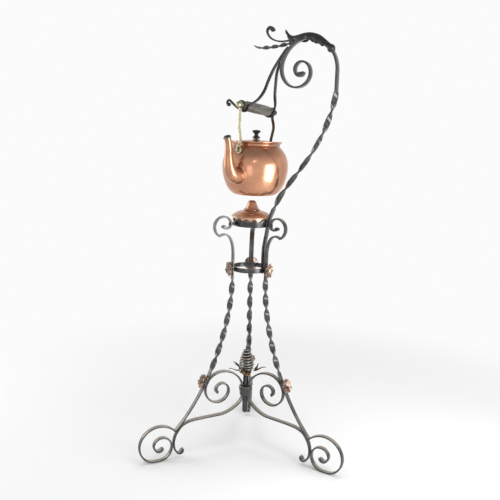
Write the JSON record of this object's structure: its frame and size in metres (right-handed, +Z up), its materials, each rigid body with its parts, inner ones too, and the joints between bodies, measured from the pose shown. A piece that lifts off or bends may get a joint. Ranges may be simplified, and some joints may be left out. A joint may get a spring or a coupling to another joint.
{
  "type": "hanging kettle stand",
  "caption": "Scrolled wrought iron tripod stand whose crane arm hooks hold a copper kettle by its handle above a lift-out copper spirit lamp with snuffer.",
  "frame": {"origin": "on the floor, at the middle of the footprint of the three scrolled feet", "axes": "+Z up, +X from the back of the stand towards the foot that the crane arm rises over, -Y towards the kettle's spout"},
  "size_m": [0.3732, 0.431, 0.9083],
  "materials": {
    "iron": "forged, dark grey-black, hammered and waxed",
    "copper": "polished copper, lightly worn",
    "aged_copper": "dull worn copper",
    "brass": "pale polished brass",
    "aged_brass": "brown tarnished brass",
    "wood": "grey-brown turned wood, worn",
    "black_wood": "ebonised, satin",
    "cotton": "woven cotton wick"
  },
  "bodies": {
    "stand": {"leg_1": "iron", "brace_1": "iron", "leg_2": "iron", "brace_2": "iron", "leg_3": "iron", "brace_3": "iron", "rosette_upper_1": "aged_copper", "rosette_lower_1": "aged_copper", "rivet_upper_1": "iron", "rivet_lower_1": "iron", "gallery_stud_1": "iron", "rosette_upper_2": "aged_copper", "rosette_lower_2": "aged_copper", "rivet_upper_2": "iron", "rivet_lower_2": "iron", "gallery_stud_2": "iron", "rosette_upper_3": "aged_copper", "rosette_lower_3": "aged_copper", "rivet_upper_3": "iron", "rivet_lower_3": "iron", "gallery_stud_3": "iron", "top_ring": "iron", "gallery": "iron", "drop_rod": "iron", "brace_collar": "iron", "finial_cage": "iron", "finial_tip": "iron", "crane_arm": "iron", "arm_bead": "iron", "acanthus_leaf": "iron", "twisted_twig": "iron", "curl_twig": "iron", "hook_front": "iron", "hook_rear": "iron", "finial_calyx": "aged_brass"},
    "grip": {"grip": "wood", "grip_cap_front": "black_wood", "grip_cap_rear": "black_wood"},
    "bail": {"tie_rod": "brass", "ball_nut_front": "brass", "ball_nut_rear": "brass", "strap_front": "brass", "strap_rear": "brass"},
    "kettle": {"kettle_body": "copper", "spout": "copper", "ear_front": "brass", "ear_rear": "brass"},
    "lid": {"lid": "copper", "knob_stem": "copper", "lid_knob": "black_wood"},
    "lamp": {"lamp_bowl": "copper", "lamp_dome": "copper", "filler_eyelet": "copper", "wick_tube": "brass", "wick": "cotton"},
    "snuffer": {"snuffer": "copper"}
  },
  "joints": [
    {"name": "kettle_lift", "type": "slide", "parent": "stand", "child": "grip", "axis": [-0.5736, 0, 0.8192], "range_m": [0, 0.045]},
    {"name": "bail_swing", "type": "hinge", "parent": "grip", "child": "bail", "pos_m": [-0.05495, 0, 0.7461], "axis": [0, 0.9976, -0.0698], "range_deg": [-3, 12]},
    {"name": "kettle_tilt", "type": "hinge", "parent": "bail", "child": "kettle", "pos_m": [-0.05495, 0, 0.662], "axis": [0, 1, 0], "range_deg": [-8, 10]},
    {"name": "lid_lift", "type": "slide", "parent": "kettle", "child": "lid", "axis": [0, 0, 1], "range_m": [0, 0.018]},
    {"name": "lamp_lift", "type": "slide", "parent": "stand", "child": "lamp", "axis": [0, 0, 1], "range_m": [0, 0.0035]},
    {"name": "snuffer_lift", "type": "slide", "parent": "lamp", "child": "snuffer", "axis": [0, 0, 1], "range_m": [0, 0.0025]}
  ]
}
